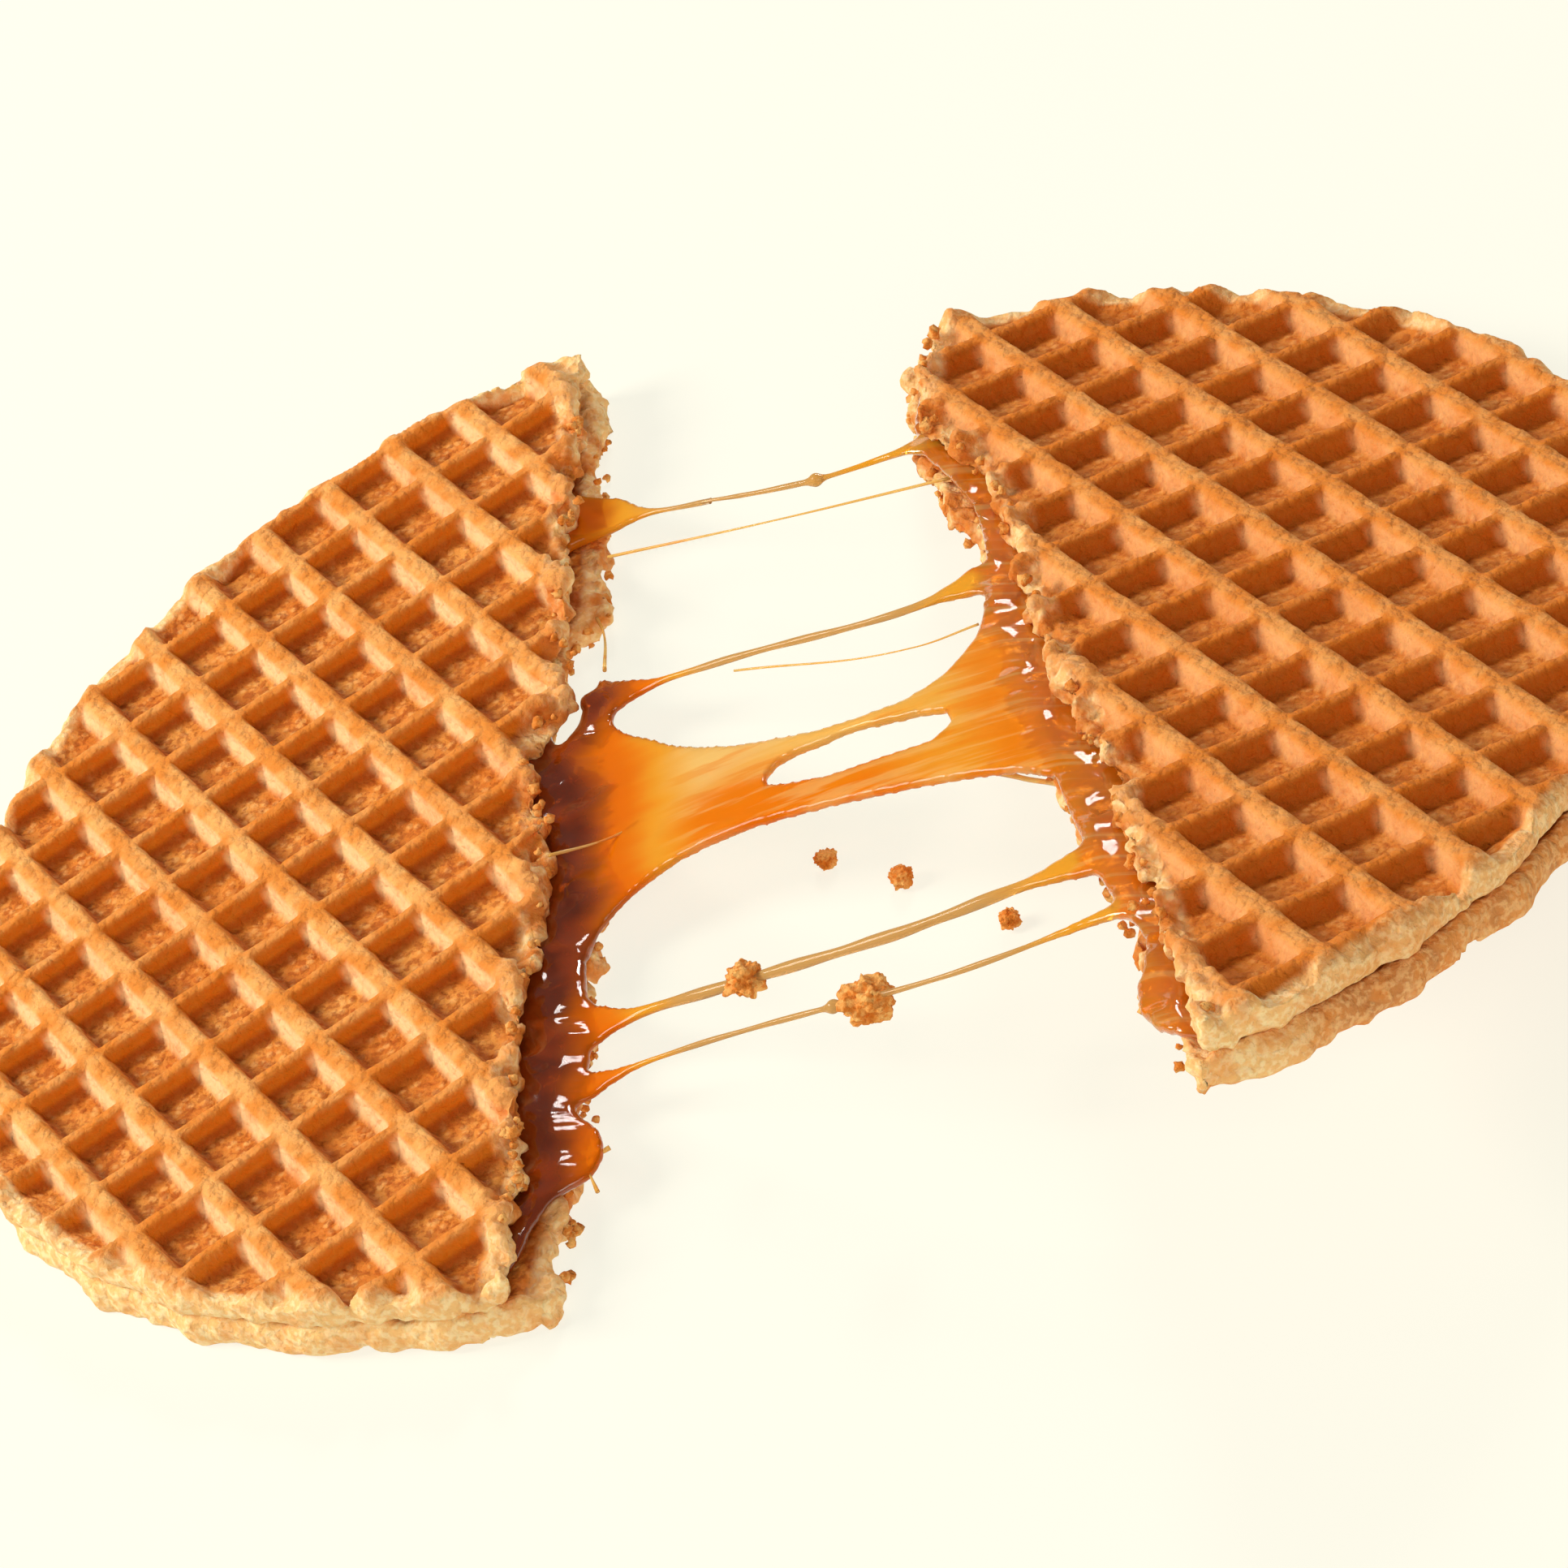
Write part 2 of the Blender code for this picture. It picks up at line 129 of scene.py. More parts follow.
# Hairs of caramel: points they pass through and their thickness (mm)
HAIRS = (
    (((-19.9, 24.4, 3.6), (-6.0, 23.2, 6.2), (6.8, 23.6, 7.8)), 0.08),
    (((-5.4, 7.6, 6.3), (9.1, 4.7, 9.2), (13.4, 5.5, 9.9)), 0.06),
    (((17.6, -9.2, 10.2), (19.8, -10.8, 10.8), (24.5, -14.2, 12.0), (25.6, -17.2, 12.2)), 0.22),
    (((-20.3, 20.2, 1.7), (-18.9, 17.6, 2.2), (-17.5, 13.2, 2.8)), 0.1),
    (((-15.5, -7.2, 4.6), (-12.6, -5.5, 3.9), (-10.2, -3.7, 3.5)), 0.09),
    (((-7.6, -34.6, 2.6), (-6.2, -33.6, 2.7), (-5.1, -32.7, 2.7)), 0.12),
    (((-6.6, -33.8, 2.6), (-5.7, -35.2, 2.6), (-5.1, -36.2, 2.4)), 0.10),
)

# The strands that bridge the gap: their lines in plan, how thick they run and where a bead hangs (mm)
STRANDS = (
    (((-21.0, 29.7), (-13.7, 27.8), (-4.2, 26.4), (1.8, 27.1), (4.5, 27.8)), 0.19, 17.5),
    (((-15.5, 9.9), (-11.7, 9.7), (-4.2, 9.0), (6.8, 8.0), (12.0, 8.9)), 0.24, 0),
    (((-8.5, -22.0), (-4.7, -22.3), (3.3, -23.5), (14.3, -24.6), (23.3, -24.2), (26.5, -23.7)), 0.36, 0),
    (((-7.5, -27.1), (-2.7, -27.1), (9.8, -28.9), (17.3, -30.0), (24.3, -30.1), (30.5, -29.4)), 0.18, 19.0),
)
# Behind this line the left half's caramel keeps under its wafer, but for the back strand (mm)
BACK_STRAND_ROOT = 16.0

# Loose crumbs: where they lie or hang and how wide they are (mm)
CRUMBS = (
    ((3.4, -23.8, 7.6), 2.5),
    ((13.7, -29.3, 10.3), 3.3),
    ((2.3, -5.5, 0.7), 1.5),
    ((8.1, -7.9, 0.7), 1.6),
    ((16.4, -12.6, 0.7), 1.4),
)

# The camera: its place and what it looks at (mm), and its turn about its own line of sight (degrees)
CAMERA_PLACE = (151.17, -286.71, 251.11)
CAMERA_AIM = (0.171, -2.716, 5.0)
CAMERA_ROLL = -23.164

# The lights: where they hang and how wide they are (m), and their colours
LIGHTS = {
    "key": ((-0.55, -0.12, 0.42), 0.30, (1.0, 0.94, 0.84)),
    "fill": ((0.35, -0.55, 0.45), 0.45, (1.0, 0.93, 0.82)),
    "back": ((-0.08, 0.78, 0.53), 0.19, (1.0, 0.98, 0.95)),
}
ROOM_COLOUR = (1.0, 0.98, 0.93)

# How much of the floor's colour is its own and how much glows, so that shadows on it stay faint
FLOOR_SHARE = 0.2
FLOOR_GLOW = 0.8


class Flow:
    """A value on its way through a finish's nodes, so that its sums read as arithmetic."""

    def __init__(self, look, socket):
        self.look = look
        self.socket = socket

    def sum(self, operation, *parts):
        return self.look.node("Math", {"operation": operation}, parts)

    def __add__(self, other):
        return self.sum("ADD", self, other)

    def __sub__(self, other):
        return self.sum("SUBTRACT", self, other)

    def __rsub__(self, other):
        return self.sum("SUBTRACT", other, self)

    def __mul__(self, other):
        return self.sum("MULTIPLY", self, other)

    def __truediv__(self, other):
        return self.sum("DIVIDE", self, other)

    def __rtruediv__(self, other):
        return self.sum("DIVIDE", other, self)

    __radd__ = __add__
    __rmul__ = __mul__

    def least(self, other):
        return self.sum("MINIMUM", self, other)

    def most(self, other):
        return self.sum("MAXIMUM", self, other)

    def ramp(self, low, high, start=0.0, end=1.0):
        """Start below low, end above high, and a smooth step between."""
        settings = {"interpolation_type": "SMOOTHSTEP"}
        return self.look.node("MapRange", settings, (self, low, high, start, end))


class Look:
    """The finish of one slot: a Principled shader and the nodes in front of it."""

    def __init__(self, name):
        self.material = bpy.data.materials.new(name)
        self.material.use_nodes = True
        self.tree = self.material.node_tree
        self.shader = self.tree.nodes["Principled BSDF"]
        self.spot = self.node("TexCoord", output="Object")

    def node(self, kind, settings=(), inputs=(), output=0):
        """Any node: its settings first, then the values or links of its sockets."""
        made = self.tree.nodes.new("ShaderNode" + kind)
        for name, value in dict(settings).items():
            setattr(made, name, value)
        named = inputs.items() if isinstance(inputs, dict) else enumerate(inputs)
        for key, value in named:
            self.feed(made.inputs[key], value)
        return Flow(self, made.outputs[output])

    def feed(self, socket, value):
        if isinstance(value, Flow):
            self.tree.links.new(value.socket, socket)
        else:
            socket.default_value = value

    def mark(self, name):
        """A value that the mesh carries at each of its points."""
        return self.node("Attribute", {"attribute_name": name}, output="Fac")

    def noise(self, size_mm, detail=2.0, stretch=None):
        """Smooth noise between 0 and 1 whose lumps are about this large."""
        vector = self.spot
        if stretch:
            vector = self.node("Mapping", {}, {"Vector": self.spot, "Scale": stretch})
        inputs = {"Vector": vector, "Scale": 1 / (size_mm * MM), "Detail": detail}
        return self.node("TexNoise", {}, inputs, output="Fac")

    def grains(self, size_mm):
        """Distance to the nearest of many grains of about this size."""
        inputs = {"Vector": self.spot, "Scale": 1 / (size_mm * MM)}
        return self.node("TexVoronoi", {}, inputs, output="Distance")

    def blend(self, share, first, second):
        """One colour turning into another as the share goes from 0 to 1."""
        first, second = (tone if isinstance(tone, Flow) else (*tone, 1) for tone in (first, second))
        settings = {"data_type": "RGBA", "clamp_factor": True}
        return self.node("Mix", settings, {0: share, 6: first, 7: second}, output=2)

    def bumps(self, *layers):
        """Bump from several heights, each given with its depth in mm."""
        normal = None
        for height, depth in layers:
            inputs = {"Height": height, "Distance": depth * MM}
            if normal:
                inputs["Normal"] = normal
            normal = self.node("Bump", {}, inputs)
        self.feed(self.shader.inputs["Normal"], normal)

    def set(self, **values):
        """Values of the shader's own sockets, by name with the blanks as underscores."""
        for name, value in values.items():
            socket = self.shader.inputs[name.replace("_", " ")]
            if isinstance(value, tuple) and len(value) == 3 and socket.type == "RGBA":
                value = (*value, 1)
            self.feed(socket, value)


def only(piece):
    """Make this the one selected and active object."""
    bpy.ops.object.select_all(action="DESELECT")
    piece.select_set(True)
    bpy.context.view_layer.objects.active = piece
    return piece


def apply_modifier(piece, kind, **settings):
    """Add a modifier with these settings, and apply it."""
    only(piece)
    made = piece.modifiers.new(kind.lower(), kind)
    for name, value in settings.items():
        setattr(made, name, value)
    bpy.ops.object.modifier_apply(modifier=made.name)


def copy_of(node, name):
    """A welded copy of a plain solid, as a new object."""
    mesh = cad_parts[node].data.copy()
    mesh.materials.clear()
    piece = bpy.data.objects.new(name, mesh)
    bpy.context.scene.collection.objects.link(piece)
    return weld(piece)


def read(piece, what):
    """The positions or normals of a piece's points, in rows."""
    found = np.empty(len(piece.data.vertices) * 3, np.float32)
    source = piece.data.vertices if what == "co" else piece.data.vertex_normals
    source.foreach_get("co" if what == "co" else "vector", found)
    return found.reshape(-1, 3).astype(float)


def write(piece, points):
    """Move a piece's points to these rows of places."""
    piece.data.vertices.foreach_set("co", points.astype(np.float32).ravel())
    piece.data.update()


def mark(piece, name, values):
    """Keep a value for each point of the mesh, which the finish can read."""
    kept = piece.data.attributes.new(name, "FLOAT", "POINT")
    kept.data.foreach_set("value", np.asarray(values, np.float32))


def finish_piece(piece, look):
    """Give a piece its finish, and let it ride on the one body."""
    piece.data.materials.append(look.material)
    only(piece)
    bpy.ops.object.shade_smooth()
    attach(piece, "root")
    return piece


def step(low, high, values):
    """A smooth step from 0 at low to 1 at high."""
    share = np.clip((values - low) / (high - low), 0, 1)
    return share * share * (3 - 2 * share)


def lumps(points, size, seed):
    """Smooth noise between -1 and 1 at rows of points, with lumps of about this size."""
    table = np.random.default_rng(seed).uniform(-1, 1, (32, 32, 32))
    scaled = points / size
    corner = np.floor(scaled).astype(int)
    share = scaled - corner
    share = share * share * (3 - 2 * share)
    total = np.zeros(len(points))
    for dx in (0, 1):
        for dy in (0, 1):
            for dz in (0, 1):
                weight = (
                    (share[:, 0] if dx else 1 - share[:, 0])
                    * (share[:, 1] if dy else 1 - share[:, 1])
                    * (share[:, 2] if dz else 1 - share[:, 2])
                )
                spot = (corner + (dx, dy, dz)) % 32
                total += weight * table[spot[:, 0], spot[:, 1], spot[:, 2]]
    return total


def half_frame(half):
    """Turns a half's own level frame (mm) into the object's (mm)."""
    lean = Euler([math.radians(angle) for angle in (*half["lean"], 0)])
    return Matrix.Translation(half["place"]) @ lean.to_matrix().to_4x4()


def into_half(half, points):
    """Rows of points in metres, as millimetres in a half's own level frame."""
    inverse = np.array(half_frame(half).inverted())
    return points / MM @ inverse[:3, :3].T + inverse[:3, 3]


def rim_distance(half, plan):
    """How far rows of points in plan are inside the oval rim (mm), near enough."""
    angle = math.radians(-half["turn"])
    offset = plan - np.array(half["centre"])
    x = offset[:, 0] * math.cos(angle) - offset[:, 1] * math.sin(angle)
    y = offset[:, 0] * math.sin(angle) + offset[:, 1] * math.cos(angle)
    share = np.hypot(x / half["radii"][0], y / half["radii"][1])
    return (1 - share) * min(half["radii"])


def line_distance(line, plan):
    """Distance from rows of points in plan to a line of straight stretches (mm)."""
    nearest = np.full(len(plan), 1e9)
    for start, end in zip(line, line[1:]):
        start, along = np.array(start), np.array(end) - np.array(start)
        share = np.clip((plan - start) @ along / (along @ along), 0, 1)
        nearest = np.minimum(nearest, np.linalg.norm(plan - start - share[:, None] * along, axis=1))
    return nearest


def grid_shares(half, plan):
    """Where each point lies between the ridges, along and across the grid: 0 in mid pit, 0.5 on a ridge."""
    angle = math.radians(-half["grid_turn"])
    offset = plan - np.array(half["grid_start"])
    along = (offset[:, 0] * math.cos(angle) - offset[:, 1] * math.sin(angle)) / half["pitch"] + PIT_SHIFT
    across = (offset[:, 0] * math.sin(angle) + offset[:, 1] * math.cos(angle)) / half["pitch"] - PIT_SHIFT
    return along - np.round(along), across - np.round(across)


def choose(piece, chosen):
    """Open a piece in edit mode with only the chosen points selected."""
    only(piece)
    bpy.ops.object.mode_set(mode="EDIT")
    bpy.ops.mesh.select_all(action="DESELECT")
    bpy.ops.object.mode_set(mode="OBJECT")
    piece.data.vertices.foreach_set("select", chosen)
    bpy.ops.object.mode_set(mode="EDIT")


def thin_out(piece, chosen, share):
    """Leave only a share of the faces round the chosen points, where nothing shows."""
    choose(piece, chosen)
    bpy.ops.mesh.decimate(ratio=share)
    bpy.ops.object.mode_set(mode="OBJECT")


def refine(piece, chosen):
    """Split the faces round the chosen points in four."""
    choose(piece, chosen)
    bpy.ops.mesh.subdivide(number_cuts=1)
    bpy.ops.object.mode_set(mode="OBJECT")


def weld(piece):
    """Merge a piece's doubled points and turn its faces outwards."""
    only(piece)
    bpy.ops.object.mode_set(mode="EDIT")
    bpy.ops.mesh.select_all(action="SELECT")
    bpy.ops.mesh.remove_doubles(threshold=0.002 * MM)
    bpy.ops.mesh.normals_make_consistent(inside=False)
    bpy.ops.object.mode_set(mode="OBJECT")
    return piece


def boxed(points):
    """Rows of points kept inside the box of the plain solids."""
    return np.clip(points, np.array(plain_box[0]), np.array(plain_box[1]))


def make_wafer(half, side, level, look, fine):
    """One wafer: the plain solid in fine grain, with a rounded print, a lumpy rim and a crumbling tear."""
    node = f"wafer_{level}_{side}"
    piece = copy_of(node, f"{level}_wafer_{side}")
    apply_modifier(piece, "REMESH", mode="VOXEL", voxel_size=fine.wafer_grain)
    apply_modifier(piece, "SMOOTH", factor=0.5, iterations=fine.rounding)

    # The inner face, away from the rim and the tear, is never seen, so a few faces will do
    local = into_half(half, read(piece, "co"))
    inner, outer = LAYER_FACES[level]
    hidden = (
        (np.abs(local[:, 2] - inner) < 0.1)
        & (rim_distance(half, local[:, :2]) > 4)
        & (line_distance(half["tear_" + level], local[:, :2]) > 3)
    )
    thin_out(piece, hidden, 0.05)

    # Where each point lies: its share of the thickness, and how far the tear, rim and ridges are
    points, normals = read(piece, "co"), read(piece, "normal")
    local = into_half(half, points)
    thick = abs(outer - inner)
    rise = (local[:, 2] - inner) / (outer - inner)
    tear = line_distance(half["tear_" + level], local[:, :2])
    rim = rim_distance(half, local[:, :2])
    along, across = grid_shares(half, local[:, :2])
    mask_tear = step(2.8, 0.4, tear)
    mask_rim = step(2.6, 0.6, rim)

    # The print, pressed in again so that it reaches through the plain rim
    inside = np.minimum(PIT_HALF[0] - np.abs(along), PIT_HALF[1] - np.abs(across))
    wanted = PIT_DEPTH[level] * np.clip(inside / PIT_RAMP, 0, 1)
    wanted *= (0.55 + 0.45 * step(0.2, 2.4, rim)) * (1 - 0.5 * mask_tear)
    pressed = np.maximum(0, wanted - (1 - rise) * thick) if level == "top" else 0
    rise -= pressed / thick
    height = step(1 - PIT_DEPTH[level] / thick, 1.0, rise)
    lip = step(1.9, 0.6, rim) * step(0.45, 0.1, rise) * half["lip"]

    # Fine grain all over, a bumpier rim and a crumbling tear
    up = np.array(half_frame(half).to_3x3()) @ np.array((0, 0, 1.0 if outer > inner else -1.0))
    spots = points / MM
    push = 0.08 * lumps(spots, 2.6, 3) + 0.04 * lumps(spots, 0.8, 5)
    push += 0.10 * (1 - height) * lumps(spots, 0.6, 6)
    push += mask_rim * (0.20 * lumps(spots, 1.7, 7) + 0.16 * lumps(spots, 0.8, 8) + 0.12)
    push += mask_tear * (0.40 * lumps(spots, 1.6, 11) + 0.42 * lumps(spots, 0.8, 13))
    push += mask_tear * 0.22 * lumps(spots, 0.45, 17)
    lift = -pressed - lip * (0.85 + 0.3 * lumps(spots, 2.0, 9))
    write(piece, boxed(points + (normals * push[:, None] + up * lift[:, None]) * MM))

    # What the finish reads: where the crust browned or shows its crumb, which side of each pit gets painted
    # light or painted shade, and where the crosswise ridges and the pit corners get painted shade
    mark(piece, "height", height)
    mark(piece, "rise", rise)
    mark(piece, "torn", mask_tear)
    mark(piece, "wall", step(1.5, 0.2, rim))
    mark(piece, "near_tear", step(11, 3, tear))
    mark(piece, "near_rim", step(9, 2, rim))
    below = step(0.02, 0.2, 1 - rise)
    # Painted light: the side of each pit that faces the key light
    pale_side = step(0.22, 0.30, across) * step(0.44, 0.36, np.abs(along)) * below
    mark(piece, "pale_side", pale_side * step(0.15, 0.45, rise))
    # Painted shade: the side of each pit that faces away from the key light
    mark(piece, "brown_side", step(-0.26, -0.36, along) * step(0.44, 0.36, np.abs(across)) * below)
    # Painted shade along the crosswise ridges, whose sides face away from the key light
    mark(piece, "cross_ridge", step(0.36, 0.43, np.abs(along)) * step(0.46, 0.38, np.abs(across)))
    # Painted shadow in the corners of the pit floors, where the ridges cast shade
    mark(piece, "corner", step(0.16, 0.30, np.maximum(-along, -across)) * (1 - height))
    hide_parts(node)
    return finish_piece(piece, look)


def make_granule(seed):
    """One small rough crumb at the middle of the scene, a unit across."""
    bpy.ops.object.select_all(action="DESELECT")
    bpy.ops.mesh.primitive_uv_sphere_add(segments=6, ring_count=5, radius=0.5)
    granule = bpy.context.active_object
    points = read(granule, "co")
    write(granule, points * (1 + 0.45 * lumps(points * 7 + seed, 1.0, seed))[:, None])
    return granule


def tear_crumbs(half, side, look, count):
    """Small crumbs that cling all along both tears of a half, as one piece."""
    draw = random.Random(side)
    kinds = [make_granule(seed) for seed in range(4)]
    place = half_frame(half)
    copies = []
    for level, (inner, outer) in LAYER_FACES.items():
        line = half["tear_" + level]
        lengths = [math.dist(start, end) for start, end in zip(line, line[1:])]
        for _ in range(count):
            start, end = draw.choices(list(zip(line, line[1:])), lengths)[0]
            share = draw.random()
            x = start[0] + (end[0] - start[0]) * share + draw.gauss(0, 0.35)
            y = start[1] + (end[1] - start[1]) * share
            if rim_distance(half, np.array([(x, y)]))[0] < 1.0:
                continue
            z = inner + (outer - inner) * draw.uniform(0.1, 1.0)
            size = draw.triangular(0.35, 1.1, 0.5) * MM
            copied = bpy.data.objects.new("crumb", draw.choice(kinds).data.copy())
            bpy.context.scene.collection.objects.link(copied)
            turn = Euler([draw.uniform(0, math.tau) for _ in range(3)]).to_matrix().to_4x4()
            moved = Matrix.Translation(place @ Vector((x, y, z)) * MM)
            copied.data.transform(moved @ turn @ Matrix.Scale(size, 4))
            copies.append(copied)
    for kind in kinds:
        bpy.data.objects.remove(kind)
    bpy.ops.object.select_all(action="DESELECT")
    for copied in copies:
        copied.select_set(True)
    bpy.context.view_layer.objects.active = copies[0]
    bpy.ops.object.join()
    joined = bpy.context.active_object
    joined.name = f"tear_crumbs_{side}"
    write(joined, boxed(read(joined, "co")))
    return finish_piece(joined, look)


def loose_crumb(number, place, width, look):
    """One loose crumb, rough and porous."""
    bpy.ops.object.select_all(action="DESELECT")
    bpy.ops.mesh.primitive_ico_sphere_add(subdivisions=5, radius=0.5)
    crumb = bpy.context.active_object
    crumb.name = f"loose_crumb_{number}"
    points = read(crumb, "co")
    spots = points * 6 + 13 * number
    reach = 0.95 + 0.30 * lumps(spots, 1.6, 31) + 0.22 * lumps(spots, 0.7, 32) + 0.10 * lumps(spots, 0.3, 33)
    points = points * reach[:, None] * width
    points[:, 2] *= 0.8
    points += np.array(place)
    points[:, 2] -= min(0, points[:, 2].min() - 0.02)
    write(crumb, points * MM)
    return finish_piece(crumb, look)


def crust_look(name, colours, bake, pale):
    """Baked crust: painted light in pale on one side of each pit and painted shade in a browner orange on
    the other, with grainy floors.
    """
    look = Look(name)
    height, torn, wall, rise = (look.mark(kept) for kept in ("height", "torn", "wall", "rise"))
    pale_side, brown_side = look.mark("pale_side"), look.mark("brown_side")
    cross_shade, corner = look.mark("cross_ridge"), look.mark("corner")
    cloud = look.noise(9.0, 2.0)
    patch = look.noise(2.2, 3.0)
    fine = look.noise(0.5, 3.0)
    grit = look.grains(0.75)

    # The floors of the pits and the ridges between them
    pit = look.blend(patch.ramp(0.35, 0.7), colours.pit, colours.pit_light)
    pit = look.blend(grit.ramp(0.50, 0.18) * 0.75, pit, colours.ridge_pale)
    pit = look.blend(fine.ramp(0.44, 0.62) * 0.6, pit, colours.pit_dark_and_shade)
    ridge = look.blend(patch.ramp(0.35, 0.68), colours.ridge, colours.ridge_pale)
    ridge = look.blend(fine.ramp(0.52, 0.72) * 0.25, ridge, colours.brown)
    crust = look.blend(height.ramp(0.3, 0.8), pit, ridge)

    # Painted shade: browner along the crosswise ridges, whose sides face away from the key light, and darker
    # in the corners of the pits, where the ridges cast shadow
    crust = look.blend(cross_shade * (0.45 + bake * 0.3), crust, colours.brown)
    crust = look.blend(corner.ramp(0.1, 0.9) * (0.5 + bake * 0.3), crust, colours.pit_dark_and_shade)

    # Painted shade on the side of each pit that faces away from the key light, darker lower down the wall
    # and on the browner half, and painted light on the side that faces the key light
    side = look.blend(bake * 0.75, colours.side, colours.pit_dark_and_shade)
    side = look.blend(height.ramp(0.55, 0.1) * 0.8, side, colours.pit_dark_and_shade)
    crust = look.blend(brown_side * patch.ramp(0.25, 0.5, 0.7, 1.0) * 0.95, crust, side)
    lit_share = pale_side * patch.ramp(0.3, 0.5, 0.6, 1.0) * (1.0 - bake * 0.45)
    crust = look.blend(lit_share, crust, colours.pale_side)

    # Broad patches of browning, and a half that baked longer is browner all over
    crust = look.blend(cloud.ramp(0.5, 0.75) * 0.35, crust, colours.brown)
    crust = look.blend(bake * 0.35, crust, colours.brown)

    # Open crumb at the tear and on the wall, with the crust over its edge
    crumb = look.blend(fine.ramp(0.42, 0.62, 0.3, 0.95), colours.crumb_dark, colours.crumb)
    face = look.blend(patch.ramp(0.45, 0.7) * 0.5, crumb, colours.ridge)
    browned = patch.ramp(0.38, 0.62) * look.mark("near_rim").ramp(0.2, 0.9, 0.9, 0.2)
    ragged = look.blend(browned, crumb, colours.brown)
    crust = look.blend(torn.ramp(0.35, 0.9) * rise.ramp(1.05, 0.75, 0.35, 0.95), crust, ragged)
    crust = look.blend(wall.ramp(0.3, 0.8) * patch.ramp(0.38, 0.58) * 0.8, crust, colours.brown)
    crust = look.blend(wall.ramp(0.3, 0.8) * fine.ramp(0.46, 0.60) * 0.6, crust, colours.ridge_pale)
    shown = wall.ramp(0.3, 0.8) * rise.ramp(1.05, 0.75, 0.15, 1.0)
    crust = look.blend(shown * look.mark("near_tear").most(pale), crust, face)
    look.set(
        Base_Color=crust,
        Roughness=0.62 + fine * 0.25,
        Specular_IOR_Level=0.2,
        Subsurface_Weight=0.15,
        Subsurface_Radius=(0.0016, 0.0006, 0.0002),
        Subsurface_Scale=1.0,
    )
    look.bumps((grit * -1.0, 0.20), (fine, 0.22), (look.noise(0.22, 2.0), 0.06))
    return look


def crumb_look(colours):
    """Open crumb: pale and toasted grains side by side."""
    look = Look("crumb")
    fine, patch = look.noise(0.5, 3.0), look.noise(1.2, 2.0)
    tone = look.blend(patch.ramp(0.40, 0.66), colours.crumb_dark, colours.ridge)
    tone = look.blend(fine.ramp(0.44, 0.60) * 0.8, tone, colours.brown)
    look.set(Base_Color=tone, Roughness=0.7 + fine * 0.2, Specular_IOR_Level=0.3)
    look.bumps((fine, 0.3), (look.noise(0.2, 2.0), 0.1))
    return look


def cut_away(piece, line, keep_left):
    """Cut a piece along an upright plane through a line in plan, and close the cut."""
    (x0, y0), (x1, y1) = line
    across = Vector((y1 - y0, x0 - x1, 0)).normalized()
    if across.x < 0:
        across.negate()
    only(piece)
    bpy.ops.object.mode_set(mode="EDIT")
    bpy.ops.mesh.select_all(action="SELECT")
    bpy.ops.mesh.bisect(
        plane_co=Vector((x0, y0, 0)) * MM,
        plane_no=across,
        use_fill=True,
        clear_inner=not keep_left,
        clear_outer=keep_left,
    )
    bpy.ops.object.mode_set(mode="OBJECT")


def mark_roots(piece, least=0.0):
    """How far each point is from either tear and the web's front edge, at least this much, and from
    the strands (mm)."""
    spots = read(piece, "co")
    plan = spots[:, :2] / MM
    for side, half in (("left", LEFT), ("right", RIGHT)):
        away = line_distance(half["tear_top"], into_half(half, spots)[:, :2])
        if side == "left":
            away += 4 * step(BACK_STRAND_ROOT - 4, BACK_STRAND_ROOT, plan[:, 1])
        mark(piece, "from_" + side, np.maximum(away, least))
    mark(piece, "from_front", np.maximum(line_distance(WEB_FRONT, plan), least))
    strands = np.full(len(plan), 9.0)
    for line, _, _ in STRANDS:
        strands = np.minimum(strands, line_distance(line, plan))
    mark(piece, "from_strand", strands)


def draw_out(points, line, radius, bead):
    """Turn the points along a line into a smooth round strand, with a bead where asked."""
    plan = points[:, :2]
    reach, away, start = np.zeros(len(plan)), np.full(len(plan), 1e9), 0.0
    for here, there in zip(line, line[1:]):
        here, run = np.array(here), np.array(there) - np.array(here)
        length = np.linalg.norm(run)
        share = np.clip((plan - here) @ run / length**2, 0, 1)
        gap = np.linalg.norm(plan - here - share[:, None] * run, axis=1)
        closer = gap < away
        reach[closer], away[closer] = start + share[closer] * length, gap[closer]
        start += length
    near = (away < 1.8) & (reach > 0.05) & (reach < start - 0.05)

    # The strand's middle line, at stations every half millimetre, smoothed
    nearest = np.round(reach * 2).astype(int)
    kept = np.unique(nearest[near])
    middle = np.array([points[near & (nearest == n)].mean(axis=0) for n in kept])
    stations = kept / 2
    for _ in range(8):
        middle[1:-1] = (middle[:-2] + 2 * middle[1:-1] + middle[2:]) / 4
    centre = np.column_stack([np.interp(reach, stations, middle[:, axis]) for axis in range(3)])
    ahead = np.gradient(middle, axis=0)
    ahead = np.column_stack([np.interp(reach, stations, ahead[:, axis]) for axis in range(3)])
    ahead /= np.linalg.norm(ahead, axis=1)[:, None]

    # Each point moves out from or in to the middle line, until the strand is as thick as wanted
    offset = points - centre
    offset -= ahead * (offset * ahead).sum(axis=1)[:, None]
    wide = np.linalg.norm(offset, axis=1)
    wanted = radius * (1 + 0.12 * np.sin(reach * 0.9))
    if bead:
        wanted += 0.3 * np.exp(-(((reach - bead) / 0.5) ** 2))
    share = near * step(0, 5, reach) * step(start, start - 5, reach)
    scale = 1 + share * (wanted / np.maximum(wide, 0.05) - 1)
    return points + offset * (scale - 1)[:, None]


